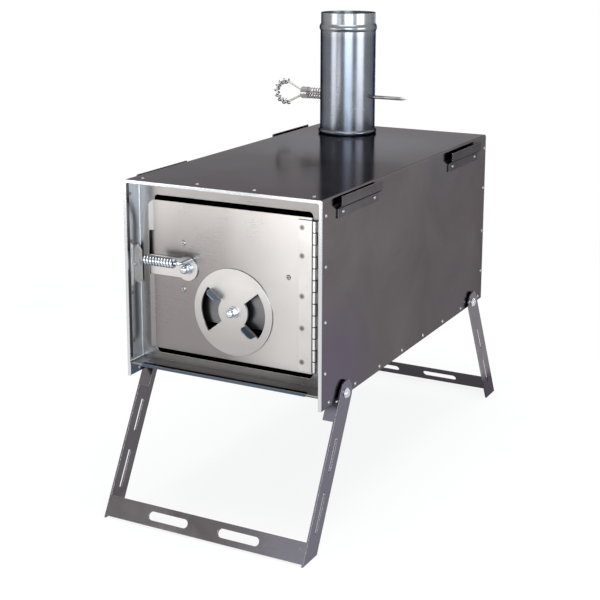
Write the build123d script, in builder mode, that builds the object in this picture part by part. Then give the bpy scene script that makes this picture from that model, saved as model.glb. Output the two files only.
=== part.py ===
from build123d import *
import os
from math import cos, pi, radians, sin, sqrt, tan

# Tent wood stove: a sheet-steel firebox on two folding leg frames, with a hinged door in a
# set-back front panel, a turning draft disc, a sprung latch handle, four side-shelf brackets
# and a short flue pipe with a damper.
# Lengths are in millimetres, angles in degrees. X is to the right, Y to the back, Z up.
# The stove's own measures run from its centre line, its front edge and the floor. The model's
# origin lies on the floor under the middle of everything, so the two differ by mid_x and front_y.

# Sheets, strips and fits
sheet = 1.2
strip = 1.5
leg_sheet = 2.0
running_fit = 0.05
slide_gap = 0.3
seat_gap = 0.2

# Firebox
body_width = 254.0
body_depth = 508.0
side_height = 235.0
ground_gap = 160.0
bend_radius = 1.2
hem_depth = 6.0
panel_recess = 28.0
back_recess = 12.0
floor_rise = 15.5
floor_lip_inset = 20.0
pan_corner = 3.0

# Opening in the front panel
opening_left_margin = 23.5
opening_right_margin = 24.5
opening_height = 190.0
opening_rise = 9.5
opening_corner = 5.0

# Door
door_gap = 0.4
door_reveal = 6.0
door_hinge_margin = 0.5
step_overlap = 0.9
step_run = 4.0
step_depth = 3.4
lip_width = 8.6
lip_top_round = 30.0
lip_bottom_round = 15.0

# Piano hinge
knuckle_count = 13
hinge_end_margin = 2.5
barrel_radius = 2.4
hinge_pin_radius = 1.2
leaf_thickness = 0.8
barrel_offset = 3.8
barrel_standoff = 2.6
door_leaf_width = 20.0
frame_leaf_width = 15.0
knuckle_gap = 0.3

# Heat shield behind the door
shield_side_margin = 18.0
shield_height = 125.0
shield_top_drop = 14.5
shield_spacing = 8.0
spacer_radius = 4.0
left_rivet_inset = 21.9
left_rivet_drops = [32.5, 87.1]
right_rivet_inset = 11.6
right_rivet_drop = 55.8
door_rivet_radius = 3.1
door_rivet_height = 1.5
door_rivet_shank = 1.6

# Draft disc and its bolt
disc_latch_offset = 60.5
disc_rise = 57.5
disc_radius = 51.0
port_inner = 19.0
port_outer = 42.0
port_half_angle = 39.0
tab_inner = 21.0
tab_width = 17.0
tab_reach = 13.0
tab_chamfer = 4.0

# Bolts, washers and cap nuts of the disc and of the latch
bolt_radius = 3.0
bolt_head_radius = 5.5
bolt_head_height = 2.5
washer_radius = 7.0
washer_thickness = 1.2
nut_flats = 10.0
nut_height = 4.0
nut_dome_height = 4.5
nut_dome_radius = 4.6
nut_crown_radius = 3.4
nut_thread_depth = 6.0

# Door latch
latch_inset = 45.0
latch_rise = 101.5
latch_bar_width = 23.0
latch_end_radius = 14.2
latch_end_margin = 0.4
latch_notch_rise = 40.5
handle_rod_radius = 2.0
handle_anchor_x = 4.5
handle_anchor_z = 11.0
handle_reach = 21.6
handle_length = 46.0
handle_bend = 5.0
handle_wire = 3.2
handle_coil_outer = 12.0
handle_coil_turns = 10
handle_coil_pitch = 3.9

# Latch keeper
keeper_gap = 0.6
keeper_front = 20.5
keeper_base = 11.5
keeper_height = 51.0
keeper_top_slope = 9.5
keeper_bottom_slope = 5.0
keeper_rivet_y = 14.5

# Rivets in the sheets
rivet_radius = 1.6
rivet_head_radius = 2.2
rivet_head_height = 1.1
rivet_tail_height = 0.7
head_taper = 35.0
front_rivet_y = 9.6
back_rivet_inset = 6.5
column_rivet_shares = [0.1745, 0.4213, 0.6851, 0.9234]
row_rivet_front_inset = 19.0
row_rivet_back_inset = 14.4
row_rivet_count = 8
row_rivet_rise = 5.3
top_rivet_y = 15.0
top_rivet_inset = 16.9
top_rivet_count = 4

# Brackets for the side shelves: name, side, front end and drop of the upper edge below the top
front_bracket_y = 36.0
rear_bracket_reach = 144.0
rear_bracket_y = body_depth - rear_bracket_reach
bracket_rows = [
    ("bracket_front_right", 1, front_bracket_y, 1.2),
    ("bracket_front_left", -1, front_bracket_y, 1.2),
    ("bracket_rear_right", 1, rear_bracket_y, 4.3),
    ("bracket_rear_left", -1, rear_bracket_y, -0.8),
]
bracket_length = 107.0
bracket_pocket = 5.0
bracket_foot = 10.0
bracket_step = 4.0
bracket_lip = 10.8
bracket_rivet_rise = 6.0
bracket_rivet_inset = 12.5

# Flue pipe and collar
pipe_side_inset = 72.0
pipe_back_inset = 67.0
pipe_radius = 38.5
pipe_wall = 0.8
pipe_length = 167.0
foot_bead = 2.5
foot_bead_height = 6.0
upper_bead = 1.5
upper_bead_height = 10.0
upper_bead_rise = 142.0
neck_step = 0.7
collar_fit = 0.4
collar_rise = 14.0
collar_flange = 12.0

# Damper
damper_rise = 51.6
damper_rod_radius = 2.4
damper_rod_right = 90.0
damper_point_length = 7.0
damper_point_radius = 0.4
damper_gap = 1.2
damper_plate_thickness = 2.0
damper_hub_radius = 4.2
damper_hub_length = 60.0
cup_radius = 8.3
cup_length = 10.0
cup_reach = 71.0
cup_floor = 2.0
damper_spring_wire = 1.8
damper_spring_outer = 16.0
damper_spring_turns = 5
damper_spring_play = 0.5
bail_wire = 3.0
bail_spread = 5.0
bail_lead = 4.0
bail_flare = 26.6
bail_bend = 6.0
bail_reach = 112.5
bail_coil_wire = 2.2
bail_coil_outer = 9.0
bail_coil_turns = 8
bail_coil_half_angle = 105.0

# Leg frames
leg_pivot_inset = 56.0
rear_pivot_inset = 44.0
leg_pivot_rise = 4.6
leg_splay = 28.3
leg_width = 30.0
leg_side_gap = 2.0
leg_slots = [(50.0, 90.0), (111.5, 158.0)]
leg_slot_width = 5.0
crossbar_height = 24.0
crossbar_ground_gap = 2.5
crossbar_slot_length = 53.0
crossbar_slot_height = 10.0
crossbar_slot_middle = 46.5
stop_tab_reach = 15.0
stop_tab_height = 22.0
leg_bolt_head_radius = 6.0
leg_bolt_head_height = 2.6
leg_spacer_radius = 6.5

# Levels and faces that follow from these
half = body_width / 2
inner_half = half - sheet
flange_half = inner_half - sheet
top_z = ground_gap + side_height
ceiling_z = top_z - sheet
base_z = ground_gap + floor_rise
opening_left = opening_left_margin - half
opening_right = half - opening_right_margin
opening_width = opening_right - opening_left
opening_middle = (opening_left + opening_right) / 2
opening_low = base_z + opening_rise
opening_high = opening_low + opening_height

door_face = panel_recess - door_gap - sheet
door_back = door_face + sheet
door_low = opening_low + door_reveal
door_high = opening_high - door_reveal
door_right = opening_right - door_hinge_margin
step_right = opening_left - step_overlap
step_left = step_right - step_run
lip_left = step_left - lip_width
lip_face = door_face - step_depth

hinge_x = door_right + barrel_offset
hinge_y = panel_recess - barrel_standoff
hinge_low = door_low + hinge_end_margin
hinge_length = door_high - hinge_end_margin - hinge_low
knuckle_pitch = hinge_length / knuckle_count

shield_width = opening_width - 2 * shield_side_margin
shield_left = opening_middle - shield_width / 2
shield_right = opening_middle + shield_width / 2
shield_top = door_high - shield_top_drop
left_rivets = [(shield_left + left_rivet_inset, shield_top - drop) for drop in left_rivet_drops]
right_rivet = (shield_right - right_rivet_inset, shield_top - right_rivet_drop)
shield_rivets = left_rivets + [right_rivet]

latch_x = opening_left + latch_inset
latch_z = door_low + latch_rise
disc_x = latch_x + disc_latch_offset
disc_z = door_low + disc_rise
disc_back = door_face - slide_gap
disc_face = disc_back - sheet
latch_bar_back = door_face - slide_gap
latch_bar_face = latch_bar_back - strip
handle_y = latch_bar_face - handle_reach
handle_z = latch_z + handle_anchor_z
handle_x = latch_x + handle_anchor_x

leg_inner = half + leg_side_gap
leg_outer = leg_inner + leg_sheet
leg_pivot_z = ground_gap + leg_pivot_rise
rear_pivot_y = body_depth - rear_pivot_inset
leg_bolt_reach = leg_outer + seat_gap + leg_bolt_head_height

pipe_x = pipe_side_inset - half
pipe_y = body_depth - pipe_back_inset
damper_z = top_z + damper_rise
bail_coil_radius = (bail_coil_outer - bail_coil_wire) / 2

# The middle of the whole: across, from the damper's grip to the right leg bolts, and in depth
# from one leg frame's feet to the other's
mid_x = (bail_reach + bail_coil_outer / 2 - pipe_x - leg_bolt_reach) / 2
front_y = -(leg_pivot_inset + rear_pivot_y) / 2


# Sketch planes in the stove's own measures
def plan_at(height):
    return Plane(origin=(mid_x, front_y, height), x_dir=(1, 0, 0), z_dir=(0, 0, 1))


# Seen from the front: local x to the right, local y up, and an extrusion comes forward
def front_at(depth):
    return Plane(origin=(mid_x, front_y + depth, 0), x_dir=(1, 0, 0), z_dir=(0, -1, 0))


# Seen from the right: local x to the back, local y up, and an extrusion goes to the right
def side_at(offset):
    return Plane(origin=(mid_x + offset, front_y, 0), x_dir=(0, 1, 0), z_dir=(1, 0, 0))


def spot(across, depth, height):
    return Vector(mid_x + across, front_y + depth, height)


def save(piece, name):
    piece.label = name
    export_step(piece, f"parts/{name}.step")


os.makedirs("parts", exist_ok=True)


# Rivet places as seen from the side, and the spacing of those across the top
row_rivet_run = body_depth - row_rivet_front_inset - row_rivet_back_inset
row_rivets = [
    (
        row_rivet_front_inset + row_rivet_run * n / (row_rivet_count - 1),
        ground_gap + row_rivet_rise,
    )
    for n in range(row_rivet_count)
]
column_heights = [ground_gap + side_height * share for share in column_rivet_shares]
front_column = [(front_rivet_y, z) for z in column_heights]
back_column = [(body_depth - back_rivet_inset, z) for z in column_heights]
top_rivet_pitch = (body_width - 2 * top_rivet_inset) / (top_rivet_count - 1)
keeper_rivet_place = (keeper_rivet_y, latch_z)
leg_pivots = [(leg_pivot_inset, leg_pivot_z), (rear_pivot_y, leg_pivot_z)]
bracket_rivets_at = {
    side: [
        (y, top_z - drop - bracket_lip - bracket_step - bracket_foot + bracket_rivet_rise)
        for _, row_side, start, drop in bracket_rows
        if row_side == side
        for y in (start + bracket_rivet_inset, start + bracket_length - bracket_rivet_inset)
    ]
    for side in (1, -1)
}
rivet_hole = rivet_radius + running_fit
bolt_hole = bolt_radius + running_fit


# Round holes through one wall, as seen from the side and cut from a plane to the left
def drill_sides(places, radius, offset, depth):
    with BuildSketch(side_at(offset)) as holes:
        with Locations(*places):
            Circle(radius)
    extrude(holes.sketch, amount=depth, mode=Mode.SUBTRACT)


# Section of the folded shell at a distance in from its outside, open at the bottom
def arch(inset, corner, mode=Mode.ADD):
    with BuildSketch(mode=Mode.PRIVATE) as section:
        with Locations((0, ground_gap)):
            Rectangle(
                body_width - 2 * inset,
                side_height - inset,
                align=(Align.CENTER, Align.MIN),
            )
        fillet(section.vertices().group_by(Axis.Y)[-1], corner)
    add(section.sketch, mode=mode)


# The shell: top and both sides in one folded sheet, hemmed along the front
with BuildPart() as body_wrap:
    with BuildSketch(front_at(body_depth)):
        arch(0, bend_radius + sheet)
        arch(sheet, bend_radius, Mode.SUBTRACT)
    extrude(amount=body_depth)
    with BuildSketch(front_at(sheet)):
        arch(sheet, bend_radius)
        arch(3 * sheet, pan_corner - sheet, Mode.SUBTRACT)
    extrude(amount=sheet)
    with BuildSketch(front_at(hem_depth)):
        arch(2 * sheet, pan_corner)
        arch(3 * sheet, pan_corner - sheet, Mode.SUBTRACT)
        with Locations((0, ground_gap)):
            Rectangle(
                body_width,
                2 * (floor_rise + pan_corner + 3 * sheet),
                mode=Mode.SUBTRACT,
            )
    extrude(amount=hem_depth)
    with BuildSketch(plan_at(ceiling_z)):
        with Locations((pipe_x, pipe_y)):
            Circle(pipe_radius - pipe_wall - collar_fit + running_fit)
    extrude(amount=sheet, mode=Mode.SUBTRACT)
    with BuildSketch(plan_at(ceiling_z)):
        with Locations((0, top_rivet_y)):
            with GridLocations(top_rivet_pitch, 1, top_rivet_count, 1):
                Circle(rivet_hole)
    extrude(amount=sheet, mode=Mode.SUBTRACT)
    drill_sides(front_column + back_column + row_rivets, rivet_hole, -half, body_width)
    drill_sides(leg_pivots, bolt_hole, -half, body_width)
    drill_sides(bracket_rivets_at[1], rivet_hole, inner_half, sheet)
    drill_sides(bracket_rivets_at[-1], rivet_hole, -half, sheet)
    drill_sides([keeper_rivet_place], rivet_hole, -half, sheet)
save(body_wrap.part, "body_wrap")

# Bottom panel: flanges down inside the sides, and a lip folded back along the front
with BuildPart() as bottom_panel:
    with BuildSketch(front_at(body_depth - seat_gap)):
        with Locations((0, ground_gap)):
            Rectangle(2 * inner_half, floor_rise, align=(Align.CENTER, Align.MIN))
            Rectangle(
                2 * flange_half,
                floor_rise - sheet,
                align=(Align.CENTER, Align.MIN),
                mode=Mode.SUBTRACT,
            )
    extrude(amount=body_depth - 2 * seat_gap - sheet)
    with BuildSketch(side_at(floor_lip_inset - half)):
        with Locations((0, base_z - sheet)):
            Rectangle(hem_depth, 3 * sheet, align=(Align.MIN, Align.MIN))
        with Locations((sheet, base_z)):
            Rectangle(hem_depth, sheet, align=(Align.MIN, Align.MIN), mode=Mode.SUBTRACT)
    extrude(amount=body_width - 2 * floor_lip_inset)
    drill_sides(row_rivets, rivet_hole, -half, body_width)
    drill_sides(leg_pivots, bolt_hole, -half, body_width)
save(bottom_panel.part, "bottom_panel")

pan_height = ceiling_z - base_z
pan_middle = base_z + pan_height / 2

# Front panel: a shallow pan, its flanges forward against the shell and the floor
with BuildPart() as front_panel:
    with BuildSketch(front_at(panel_recess + sheet)):
        with Locations((0, pan_middle)):
            RectangleRounded(2 * inner_half, pan_height, pan_corner)
    extrude(amount=panel_recess - seat_gap)
    offset(amount=-sheet, openings=front_panel.faces().sort_by(Axis.Y)[0])
    with BuildSketch(front_at(panel_recess + sheet)):
        with Locations((opening_middle, opening_low + opening_height / 2)):
            RectangleRounded(opening_width, opening_height, opening_corner)
    extrude(amount=sheet, mode=Mode.SUBTRACT)
    with BuildSketch(plan_at(ceiling_z - sheet)):
        with Locations((0, top_rivet_y)):
            with GridLocations(top_rivet_pitch, 1, top_rivet_count, 1):
                Circle(rivet_hole)
    extrude(amount=sheet, mode=Mode.SUBTRACT)
    drill_sides(front_column, rivet_hole, -half, body_width)
    drill_sides([keeper_rivet_place], rivet_hole, -half, 3 * sheet)
save(front_panel.part, "front_panel")

# Back panel: the same kind of pan, its flanges to the back
with BuildPart() as back_panel:
    with BuildSketch(front_at(body_depth - seat_gap)):
        with Locations((0, pan_middle)):
            RectangleRounded(2 * inner_half, pan_height, pan_corner)
    extrude(amount=back_recess + sheet - seat_gap)
    offset(amount=-sheet, openings=back_panel.faces().sort_by(Axis.Y)[-1])
    drill_sides(back_column, rivet_hole, -half, body_width)
save(back_panel.part, "back_panel")


# Rivets through a stack of sheets, on the sketch plane of the outer face and its places
def rivets(plane, places, grip):
    with BuildSketch(plane) as heads:
        with Locations(*places):
            Circle(rivet_head_radius)
    extrude(heads.sketch, amount=rivet_head_height, taper=head_taper)
    with BuildSketch(plane) as shanks:
        with Locations(*places):
            Circle(rivet_radius)
    extrude(shanks.sketch, amount=-grip)
    with BuildSketch(plane.offset(-grip)) as tails:
        with Locations(*places):
            Circle(rivet_head_radius)
    extrude(tails.sketch, amount=-rivet_tail_height)


with BuildPart() as side_rivets:
    rivets(side_at(half), front_column + back_column + row_rivets, 2 * sheet)
    mirror(about=side_at(0))
save(side_rivets.part, "side_rivets")

top_rivet_places = [
    (top_rivet_pitch * (n - (top_rivet_count - 1) / 2), top_rivet_y)
    for n in range(top_rivet_count)
]
with BuildPart() as top_rivets:
    rivets(plan_at(top_z), top_rivet_places, 2 * sheet)
save(top_rivets.part, "top_rivets")

# Shelf brackets: a foot on the side, a step outward and a lip that leaves a pocket behind it
for name, side, start, drop in bracket_rows:
    foot_z = top_z - drop - bracket_lip - bracket_step - bracket_foot
    inner_line = [
        (half, foot_z),
        (half, foot_z + bracket_foot),
        (half + bracket_pocket, foot_z + bracket_foot + bracket_step),
        (half + bracket_pocket, top_z - drop),
    ]
    outer_line = [(x + strip, z) for x, z in reversed(inner_line)]
    with BuildPart() as bracket:
        with BuildSketch(front_at(start + bracket_length)):
            with BuildLine():
                Polyline([(side * x, z) for x, z in inner_line + outer_line], close=True)
            make_face()
        extrude(amount=bracket_length)
        drill_sides(
            bracket_rivets_at[side], rivet_hole, side * (half + strip / 2) - strip, 2 * strip
        )
    save(bracket.part, name)

right_bracket_face = side_at(half + strip)
left_bracket_face = Plane(
    origin=(mid_x - half - strip, front_y, 0), x_dir=(0, 1, 0), z_dir=(-1, 0, 0)
)
with BuildPart() as bracket_rivets:
    rivets(right_bracket_face, bracket_rivets_at[1], strip + sheet)
    # This plane faces left, so its local y points down
    rivets(left_bracket_face, [(y, -z) for y, z in bracket_rivets_at[-1]], strip + sheet)
save(bracket_rivets.part, "bracket_rivets")

# Keeper beside the door: a foot on the front panel's left flange and a short ear to the right
keeper_right = lip_left - keeper_gap
keeper_bottom = latch_z - keeper_height / 2
keeper_top = latch_z + keeper_height / 2
with BuildPart() as latch_keeper:
    with BuildSketch(plan_at(keeper_bottom)):
        with BuildLine():
            Polyline(
                (-flange_half, keeper_front + strip),
                (keeper_right, keeper_front + strip),
                (keeper_right, keeper_front),
                (-flange_half + strip, keeper_front),
                (-flange_half + strip, keeper_front + strip - keeper_base),
                (-flange_half, keeper_front + strip - keeper_base),
                close=True,
            )
        make_face()
    extrude(amount=keeper_top - keeper_bottom)
    with BuildSketch(front_at(keeper_front + strip)):
        with BuildLine():
            Polyline(
                (-flange_half, keeper_bottom),
                (-flange_half, keeper_top),
                (keeper_right, keeper_top - keeper_top_slope),
                (keeper_right, keeper_bottom + keeper_bottom_slope),
                close=True,
            )
        make_face()
    extrude(amount=keeper_base, mode=Mode.INTERSECT)
    drill_sides([keeper_rivet_place], rivet_hole, -flange_half, strip)
save(latch_keeper.part, "latch_keeper")

with BuildPart() as keeper_rivet:
    rivets(side_at(strip - flange_half), [keeper_rivet_place], strip + 2 * sheet)
save(keeper_rivet.part, "keeper_rivet")


# Heights where every second knuckle starts, counted from the bottom one or the next
def knuckle_starts(first):
    return [
        hinge_low + n * knuckle_pitch + knuckle_gap / 2
        for n in range(first, knuckle_count, 2)
    ]


knuckle_length = knuckle_pitch - knuckle_gap


# Hinge leaf: a strip on one side of the barrel, joined to it at its own knuckles
def hinge_leaf(plane, side, width, first):
    near = barrel_radius + 2 * knuckle_gap
    root = near + leaf_thickness
    with BuildSketch(plane) as strip_sketch:
        with Locations((hinge_x + side * (near + width) / 2, hinge_low + hinge_length / 2)):
            Rectangle(width - near, hinge_length)
        for start in knuckle_starts(first):
            with Locations((hinge_x + side * root / 2, start + knuckle_length / 2)):
                Rectangle(root, knuckle_length)
    extrude(strip_sketch.sketch, amount=leaf_thickness)
    for start in knuckle_starts(first):
        with BuildSketch(plan_at(start)) as knuckle:
            with Locations((hinge_x, hinge_y)):
                Circle(barrel_radius)
        extrude(knuckle.sketch, amount=knuckle_length)
    with BuildSketch(plan_at(hinge_low)) as pin_hole:
        with Locations((hinge_x, hinge_y)):
            Circle(hinge_pin_radius + running_fit)
    extrude(pin_hole.sketch, amount=hinge_length, mode=Mode.SUBTRACT)


with BuildPart() as hinge_frame_leaf:
    hinge_leaf(front_at(panel_recess), 1, frame_leaf_width, 0)
save(hinge_frame_leaf.part, "hinge_frame_leaf")

with BuildPart() as hinge_door_leaf:
    hinge_leaf(front_at(door_face), -1, door_leaf_width, 1)
save(hinge_door_leaf.part, "hinge_door_leaf")

with BuildPart() as hinge_pin:
    with BuildSketch(plan_at(hinge_low)):
        with Locations((hinge_x, hinge_y)):
            Circle(hinge_pin_radius)
    extrude(amount=hinge_length)
save(hinge_pin.part, "hinge_pin")


# The two draft ports, ring sectors left and right of the disc's centre
def draft_ports(plane, depth):
    with BuildSketch(plane) as ports:
        for middle in (0, 180):
            start = middle - port_half_angle
            with BuildLine():
                outer = CenterArc((disc_x, disc_z), port_outer, start, 2 * port_half_angle)
                inner = CenterArc((disc_x, disc_z), port_inner, start, 2 * port_half_angle)
                Line(outer @ 0, inner @ 0)
                Line(outer @ 1, inner @ 1)
            make_face()
    extrude(ports.sketch, amount=depth, mode=Mode.SUBTRACT)


# Door: flat in the opening, with a lip stepped forward over the panel's left edge
with BuildPart() as door_plate:
    with BuildSketch(plan_at(door_low)):
        door_line = [
            (door_right, door_face),
            (step_right, door_face),
            (step_left, lip_face),
            (lip_left, lip_face),
        ]
        with BuildLine():
            Polyline(door_line + [(x, y + sheet) for x, y in reversed(door_line)], close=True)
        make_face()
    extrude(amount=door_high - door_low)
    with BuildSketch(front_at(door_back)):
        lip_high = (lip_left, door_high - lip_top_round)
        lip_low = (lip_left, door_low + lip_bottom_round)
        with BuildLine():
            TangentArc(lip_high, (step_right, door_high), tangent=(0, 1))
            Line((step_right, door_high), (door_right, door_high))
            Line((door_right, door_high), (door_right, door_low))
            Line((door_right, door_low), (step_right, door_low))
            TangentArc(lip_low, (step_right, door_low), tangent=(0, -1))
            Line(lip_low, lip_high)
        make_face()
    extrude(amount=sheet + step_depth, mode=Mode.INTERSECT)
    # The notch in the step that the latch bar swings in
    notch_low = latch_z - latch_bar_width / 2 - slide_gap
    notch_high = latch_z + latch_notch_rise
    with BuildSketch(front_at(door_back)):
        with Locations((step_right - step_run / 2, (notch_low + notch_high) / 2)):
            Rectangle(step_run + sheet, notch_high - notch_low)
    extrude(amount=sheet + step_depth, mode=Mode.SUBTRACT)
    draft_ports(front_at(door_back), sheet)
    with BuildSketch(front_at(door_back)):
        with Locations((disc_x, disc_z), (latch_x, latch_z)):
            Circle(bolt_hole)
        with Locations(*shield_rivets):
            Circle(door_rivet_shank + running_fit)
    extrude(amount=sheet, mode=Mode.SUBTRACT)
save(door_plate.part, "door_plate")

# Heat shield on spacers behind the door
shield_front = door_back + shield_spacing
with BuildPart() as heat_shield:
    with BuildSketch(front_at(shield_front + sheet)):
        with Locations((opening_middle, shield_top - shield_height / 2)):
            Rectangle(shield_width, shield_height)
        with Locations(*shield_rivets):
            Circle(door_rivet_shank + running_fit, mode=Mode.SUBTRACT)
    extrude(amount=sheet)
save(heat_shield.part, "heat_shield")

with BuildPart() as shield_spacers:
    with BuildSketch(front_at(shield_front)):
        with Locations(*shield_rivets):
            Circle(spacer_radius)
            Circle(door_rivet_shank + running_fit, mode=Mode.SUBTRACT)
    extrude(amount=shield_spacing)
save(shield_spacers.part, "shield_spacers")

with BuildPart() as door_rivets:
    with BuildSketch(front_at(shield_front + sheet)):
        with Locations(*shield_rivets):
            Circle(door_rivet_shank)
    extrude(amount=2 * sheet + shield_spacing)
    with BuildSketch(front_at(door_face)):
        with Locations(*shield_rivets):
            Circle(door_rivet_radius)
    extrude(amount=door_rivet_height, taper=head_taper)
    with BuildSketch(front_at(shield_front + sheet + rivet_head_height)):
        with Locations(*shield_rivets):
            Circle(door_rivet_radius)
    extrude(amount=rivet_head_height)
save(door_rivets.part, "door_rivets")

# Draft disc with a finger tab folded forward at one edge of each port
with BuildPart() as draft_spinner:
    with BuildSketch(front_at(disc_back)):
        with Locations((disc_x, disc_z)):
            Circle(disc_radius)
            Circle(bolt_hole, mode=Mode.SUBTRACT)
    extrude(amount=sheet)
    draft_ports(front_at(disc_back), sheet)
    for turn in (180 - port_half_angle, -port_half_angle):
        outward = Vector(cos(radians(turn)), 0, sin(radians(turn)))
        tab_plane = Plane(
            origin=spot(disc_x, disc_face + sheet, disc_z),
            x_dir=outward,
            z_dir=outward.cross(Vector(0, -1, 0)),
        )
        with BuildSketch(tab_plane) as tab:
            with Locations((tab_inner, 0)):
                Rectangle(tab_width, tab_reach + sheet, align=(Align.MIN, Align.MIN))
            chamfer(tab.vertices().group_by(Axis.Y)[-1], tab_chamfer)
        extrude(amount=sheet)
save(draft_spinner.part, "draft_spinner")

# Bolts through the door, with a washer and a cap nut in front of the disc and of the latch bar
stacks = [(disc_x, disc_z, disc_face), (latch_x, latch_z, latch_bar_face)]

with BuildPart() as pivot_bolts:
    for x, z, face in stacks:
        washer_face = face - seat_gap - washer_thickness
        with BuildSketch(front_at(door_back + bolt_head_height)):
            with Locations((x, z)):
                Circle(bolt_head_radius)
        extrude(amount=bolt_head_height)
        with BuildSketch(front_at(door_back)):
            with Locations((x, z)):
                Circle(bolt_radius)
        extrude(amount=door_back - washer_face + nut_thread_depth)
save(pivot_bolts.part, "pivot_bolts")

with BuildPart() as pivot_washers:
    for x, z, face in stacks:
        with BuildSketch(front_at(face - seat_gap)):
            with Locations((x, z)):
                Circle(washer_radius)
                Circle(bolt_hole, mode=Mode.SUBTRACT)
        extrude(amount=washer_thickness)
save(pivot_washers.part, "pivot_washers")

with BuildPart() as cap_nuts:
    for x, z, face in stacks:
        nut_back = face - seat_gap - washer_thickness
        with BuildSketch(front_at(nut_back)):
            with Locations((x, z)):
                RegularPolygon(nut_flats / 2, 6, major_radius=False)
        extrude(amount=nut_height)
        with BuildSketch(front_at(nut_back)):
            with Locations((x, z)):
                Circle(nut_dome_radius)
        extrude(amount=nut_height + nut_dome_height)
        crown = cap_nuts.edges().filter_by(GeomType.CIRCLE).sort_by(Axis.Y)[0]
        fillet(crown, nut_crown_radius)
        with BuildSketch(front_at(nut_back)):
            with Locations((x, z)):
                Circle(bolt_hole)
        extrude(amount=nut_thread_depth + running_fit, mode=Mode.SUBTRACT)
save(cap_nuts.part, "cap_nuts")

# Latch bar, which swings behind the door's lip
bar_end = lip_left + latch_end_margin
with BuildPart() as latch_bar:
    with BuildSketch(front_at(latch_bar_back)):
        with Locations((latch_x, latch_z)):
            Circle(latch_end_radius)
            Rectangle(latch_x - bar_end, latch_bar_width, align=(Align.MAX, Align.CENTER))
            Circle(bolt_hole, mode=Mode.SUBTRACT)
    extrude(amount=strip)
save(latch_bar.part, "latch_bar")

# Latch handle: a rod forward from the bar and then to the left, inside a coiled grip
rod_end = handle_x - handle_length
with BuildPart() as latch_handle_rod:
    with BuildLine() as rod_path:
        FilletPolyline(
            spot(handle_x, latch_bar_face, handle_z),
            spot(handle_x, handle_y, handle_z),
            spot(rod_end, handle_y, handle_z),
            radius=handle_bend,
        )
    with BuildSketch(rod_path.line ^ 0):
        Circle(handle_rod_radius)
    sweep(path=rod_path.line)
save(latch_handle_rod.part, "latch_handle_rod")


# Direction of a coil's line at a share of its length
def heading(place, share):
    return (place(share + 1e-4) - place(share - 1e-4)).normalized()


# A coil drawn as two tangent arcs for each quarter turn, with a short straight lead at each end.
# The two arcs meet where both have the same length of tangent from their outer ends.
def wind(place, turns, lead):
    quarters = 4 * turns
    Line(place(0) - heading(place, 0) * lead, place(0))
    for n in range(quarters):
        a = place(n / quarters)
        b = place((n + 1) / quarters)
        a_way = heading(place, n / quarters)
        b_way = heading(place, (n + 1) / quarters)
        chord = b - a
        along = chord.dot(a_way + b_way)
        spare = 1 - a_way.dot(b_way)
        pull = (sqrt(along**2 + 2 * spare * chord.dot(chord)) - along) / (2 * spare)
        joint = (a + b + (a_way - b_way) * pull) / 2
        TangentArc(a, joint, tangent=a_way)
        TangentArc(joint, b, tangent=(b - b_way * pull) - (a + a_way * pull))
    Line(place(1), place(1) + heading(place, 1) * lead)


# Least distance between points three to five quarters of a turn apart, less the wire
def print_least_gap(name, place, turns, wire):
    steps = 6
    last = 4 * steps * turns
    points = [place(n / last) for n in range(last + 1)]
    least = min(
        (points[i] - points[j]).length
        for i in range(last + 1)
        for j in range(i + 3 * steps, min(i + 5 * steps, last) + 1)
    )
    print(f"{name}: least gap to itself {least - wire:.2f} mm")


# Place on a coil about a line along X, from one end towards the left
def straight_coil(start_x, y, z, length, radius, turns):
    def place(share):
        angle = 2 * pi * turns * share
        return spot(start_x - length * share, y + radius * sin(angle), z + radius * cos(angle))

    return place


handle_coil_radius = (handle_coil_outer - handle_wire) / 2
coil_length = handle_coil_turns * handle_coil_pitch
handle_coil_place = straight_coil(
    rod_end + coil_length, handle_y, handle_z, coil_length, handle_coil_radius, handle_coil_turns
)
with BuildPart() as latch_handle_coil:
    with BuildLine() as handle_coil_path:
        wind(handle_coil_place, handle_coil_turns, handle_wire)
    with BuildSketch(handle_coil_path.line ^ 0):
        Circle(handle_wire / 2)
    sweep(path=handle_coil_path.line)
save(latch_handle_coil.part, "latch_handle_coil")
print_least_gap("latch_handle_coil", handle_coil_place, handle_coil_turns, handle_wire)

# Collar: a flange under the top and a short tube that the pipe stands over
collar_radius = pipe_radius - pipe_wall - collar_fit
with BuildPart() as flue_collar:
    with BuildSketch(plan_at(ceiling_z - sheet)):
        with Locations((pipe_x, pipe_y)):
            Circle(collar_radius + collar_flange)
    extrude(amount=sheet)
    with BuildSketch(plan_at(ceiling_z - sheet)):
        with Locations((pipe_x, pipe_y)):
            Circle(collar_radius)
    extrude(amount=2 * sheet + collar_rise)
    with BuildSketch(plan_at(ceiling_z - sheet)):
        with Locations((pipe_x, pipe_y)):
            Circle(collar_radius - sheet)
    extrude(amount=2 * sheet + collar_rise, mode=Mode.SUBTRACT)
save(flue_collar.part, "flue_collar")

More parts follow.
